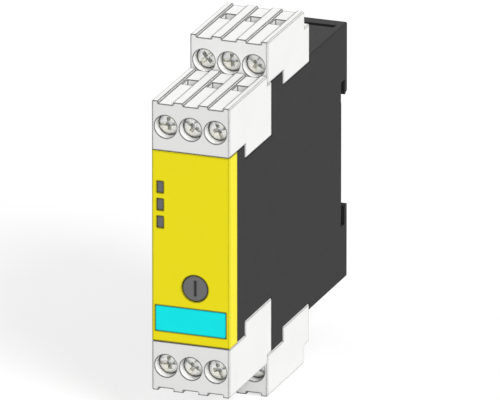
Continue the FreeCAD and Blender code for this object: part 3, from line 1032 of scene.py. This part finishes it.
# Bright zinc plate on steel, blue passivated: a light silver with a cool and here and there a
# faintly yellow film
zinc_plate = metal(
    "zinc_plated_steel_blue_passivated",
    "#e4e6e8",
    "#e6e4da",
    roughness=0.38,
    along="none",
    streak=0.5,
    depth=0.004,
)
low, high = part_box("screw_upper_front_1")
screw = screw_mesh((high.x - low.x) / 2 / mm, thread_radius, (high.y - low.y) / mm)
for bank in banks:
    for number in numbers:
        name = "screw_%s_%d" % (bank, number)
        low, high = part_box(name)
        middle = (low + high) / 2
        spot = Vector((middle.x, low.y, middle.z))
        turned_screw = screw.copy()
        turned_screw.transform(Matrix.Rotation(start_angle_step * (number + len(bank)), 4, "Y"))
        place(turned_screw, [zinc_plate], spot, name, name)


# Front cover. A thin signal-yellow polycarbonate moulding that snaps over the housing's mouth with
# two springy arms. Its face is finer and glossier than the housing.

# Yellow polycarbonate from a finely eroded tool: a clear even colour with a soft satin gloss
yellow_polycarbonate = moulded(
    "polycarbonate_yellow_fine_satin",
    "#fbec00",
    roughness=0.5,
    grain=0.3,
    depth=0.02,
    edge=0.15,
    cloud=0.01,
    ior=1.58,
    gloss=0.25,
    line=0.35,
)
dress(["front_cover"], yellow_polycarbonate)


# Indicator lenses. Three small smoked windows with a crowned face, each moulded in one with its
# flange behind the cover and the light pipe that reaches to its diode.

window_half_width = 0.94
flange = 0.4


def lens_mesh(half_x, half_z, reach):
    """The lens with the top of its crown at the origin. Its flange leaves out the side where the
    cover's wall is."""
    corner = 0.3
    back_corner = 0.2
    flange_start = 1.47
    flange_end = 2.05
    set_back = 0.02
    pipe_half_x = 0.7
    pipe_half_z = 1.0
    crown = ((0.55, 0.0), (0.3, 0.02), (0.12, 0.07), (0.03, 0.15), (0.0, 0.25))
    rings = [rounded_loop(i - half_x, half_x - i, half_z - i, corner - i / 3, d) for i, d in crown]
    rings.append(rounded_loop(-half_x, half_x, half_z, corner, flange_start))
    left, right, end = set_back - half_x, half_x + flange, half_z + flange
    for depth in (flange_start, flange_end):
        rings.append(rounded_loop(left, right, end, back_corner, depth))
    for depth in (flange_end, reach):
        rings.append(rounded_loop(-pipe_half_x, pipe_half_x, pipe_half_z, back_corner, depth))
    return softened(stacked("lens", rings))


# Smoked acrylic from a polished tool: a dim grey window with a clean gloss
smoked_acrylic = moulded(
    "acrylic_smoked_polished",
    "#696a6f",
    roughness=0.2,
    grain=0.8,
    depth=0.002,
    edge=0.12,
    cloud=0.02,
    ior=1.49,
    gloss=0.4,
    line=0.5,
)
for number in numbers:
    name = "indicator_lens_%d" % number
    low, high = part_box(name)
    spot = Vector((low.x + window_half_width * mm, low.y, (low.z + high.z) / 2))
    half_z = (high.z - low.z) / 2 / mm - flange
    lens = lens_mesh(window_half_width, half_z, (high.y - low.y) / mm)
    place(lens, [smoked_acrylic], spot, "root", name)


# Delay adjuster. A disc moulded in dark grey polyamide, level with the cover, with a driver slot
# and fine flutes round its rim. Its shaft has a flat and is pushed into the trimmer.

flutes = 36
flute_depth = 0.08
knob_steps = 4 * flutes


def knob_mesh(radius, reach):
    """The adjuster with its face at the origin and its shaft along Y."""
    thickness = 2.4
    shaft = 1.2
    flat = 0.8

    def fluted(a):
        """The radius of the fluted rim at this angle."""
        return radius - flute_depth * (0.5 - 0.5 * math.cos(a * flutes))

    def flatted(a):
        """The radius at this angle of the shaft, which is cut flat on one side."""
        return min(shaft, flat / max(math.sin(a), 1e-6)) if math.sin(a) > 0 else shaft

    outline = [
        (lambda a: radius - 0.5, 0.0),
        (lambda a: radius - 0.22, 0.02),
        (lambda a: fluted(a) - 0.05, 0.16),
        (fluted, 0.3),
        (fluted, thickness - 0.1),
        (lambda a: radius - 0.3, thickness),
        (lambda a: flatted(a) + 0.15, thickness),
        (flatted, thickness + 0.15),
        (flatted, reach - 0.2),
        (lambda a: flatted(a) - 0.2, reach),
    ]
    blank = stacked("knob_blank", [ring(radius_at, d, knob_steps) for radius_at, d in outline])

    # Half the span, half the width, and the depth of the driver slot from its mouth to its floor
    slot_rings = ((2.25, 0.36, -0.3), (2.22, 0.32, 0.0), (2.15, 0.27, 0.5))
    slot = stacked("slot", [oblong(width, span, depth) for span, width, depth in slot_rings])
    return softened(carved(blank, [slot]))


# Dark grey polyamide, from the same kind of tool as the housing: dull, with softly lit edges
grey_polyamide_dark = moulded(
    "polyamide_dark_grey_moulded",
    "#707071",
    roughness=0.55,
    grain=0.3,
    depth=0.02,
    edge=0.1,
    cloud=0.02,
    ior=1.53,
    gloss=0.3,
    line=0.6,
)
low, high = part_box("delay_knob")
middle = (low + high) / 2
knob = knob_mesh((high.x - low.x) / 2 / mm, (high.y - low.y) / mm)
spot = Vector((middle.x, low.y, middle.z))
place(knob, [grey_polyamide_dark], spot, "delay_knob", "delay_knob")


# Label plate. A turquoise plate of satin plastic to write on, pressed into the cover's recess by
# two pegs.

# ABS from a fine tool, left satin so that a pen holds on it: a strong even turquoise
turquoise_abs = moulded(
    "abs_turquoise_writing_satin",
    "#00f5f7",
    roughness=0.55,
    grain=0.25,
    depth=0.016,
    edge=0.12,
    cloud=0.008,
    ior=1.53,
    gloss=0.2,
    line=0.45,
)
dress(["label_plate"], turquoise_abs)


# Floor. A wide sheet of matt white card that the module stands on. It bounces the light like pale
# grey card, while the camera and gloss see it as the photograph's white ground with a soft shadow.

floor_drop = 0.05 * mm
floor_reach = 1.5

# What bounced light meets. The eye meets a darker shade that takes the shadow, and a glow that
# lifts it to white.
floor_bounce = "#bcbcbc"
floor_shade = "#9c9c9c"
floor_glow = 0.7
mesh = bpy.data.meshes.new("floor")
low = cad_box[0].z - floor_drop
mesh.from_pydata(
    [(x * floor_reach, y * floor_reach, low) for x, y in ((-1, -1), (1, -1), (1, 1), (-1, 1))],
    [],
    [(0, 1, 2, 3)],
)
floor = bpy.data.objects.new("floor", mesh)
bpy.context.scene.collection.objects.link(floor)
white_card, shader = new_finish("white_card_matt", Roughness=0.9, Specular_IOR_Level=0.0)


def seen_directly(owner):
    """One for camera, gloss and glass rays, and nought for the light that bounces about."""
    ray = node(owner, "LightPath", {}).outputs
    seen = ray["Is Camera Ray"]
    for kind in ("Is Glossy Ray", "Is Transmission Ray"):
        seen = node(owner, "Math", {0: seen, 1: ray[kind]}, operation="MAXIMUM").outputs["Value"]
    return seen


seen = seen_directly(white_card)
card = node(
    white_card,
    "Mix",
    {"Factor": seen, "A": (*linear(floor_bounce), 1), "B": (*linear(floor_shade), 1)},
    data_type="RGBA",
)
glow = node(white_card, "Math", {0: seen, 1: floor_glow}, operation="MULTIPLY")
shader.inputs["Emission Color"].default_value = (1, 1, 1, 1)
white_card.node_tree.links.new(card.outputs["Result"], shader.inputs["Base Color"])
white_card.node_tree.links.new(glow.outputs["Value"], shader.inputs["Emission Strength"])
floor.data.materials.append(white_card)


# Lights. A broad soft lamp high in front on the right, a weaker one behind on the left for the
# sides that the camera doesn't see, and an even pale room that the camera and gloss see as white.

room_light = 0.48

# Each lamp's strength, the way towards it, and how wide it looks from the object
lamps = {
    "key": (2.49, Vector((0.54, -0.34, 0.48)), math.radians(25)),
    "fill": (0.9, Vector((-0.62, 0.5, 0.12)), math.radians(60)),
}

for name, (strength, towards, softness) in lamps.items():
    lamp = bpy.data.lights.new(name, "SUN")
    lamp.energy = strength
    lamp.angle = softness
    stand = bpy.data.objects.new(name, lamp)
    stand.rotation_mode = "QUATERNION"
    stand.rotation_quaternion = towards.to_track_quat("Z", "Y")
    bpy.context.scene.collection.objects.link(stand)

room = bpy.data.worlds.new("room")
bpy.context.scene.world = room
room.use_nodes = True
room_range = {"Value": seen_directly(room), "To Min": room_light, "To Max": 1.0}
level = node(room, "MapRange", room_range)
walls = room.node_tree.nodes["Background"]
walls.inputs["Color"].default_value = (1, 1, 1, 1)
room.node_tree.links.new(level.outputs["Result"], walls.inputs["Strength"])

bpy.context.scene.view_settings.view_transform = "Standard"


# Camera. The photograph is a parallel view from the right and above, so the lens is very long and
# stands far off. Its angles and scale come from a fit of the part's corners to the photograph.

azimuth = math.radians(20.23)
elevation = math.radians(19.14)
photo_width = 500
photo_middle = (250, 200)
origin_in_photo = (303.17, 149.57)
pixels_per_metre = 3663

back = Vector(
    (
        math.sin(azimuth) * math.cos(elevation),
        -math.cos(azimuth) * math.cos(elevation),
        math.sin(elevation),
    )
)
right = Vector((math.cos(azimuth), math.sin(azimuth), 0))
up = back.cross(right)
body_middle = (cad_box[0] + cad_box[1]) / 2
aim = (
    right * ((photo_middle[0] - origin_in_photo[0]) / pixels_per_metre)
    + up * ((origin_in_photo[1] - photo_middle[1]) / pixels_per_metre)
    + back * back.dot(body_middle)
)

# A focal length and a film width in millimetres
optics = bpy.data.cameras.new("camera")
optics.lens = 1365
optics.sensor_width = 36
distance = optics.lens / optics.sensor_width * photo_width / pixels_per_metre
optics.clip_end = 2 * distance
camera = bpy.data.objects.new("camera", optics)
camera.location = aim + back * distance
camera.rotation_mode = "QUATERNION"
camera.rotation_quaternion = back.to_track_quat("Z", "Y")
bpy.context.scene.collection.objects.link(camera)
bpy.context.scene.camera = camera
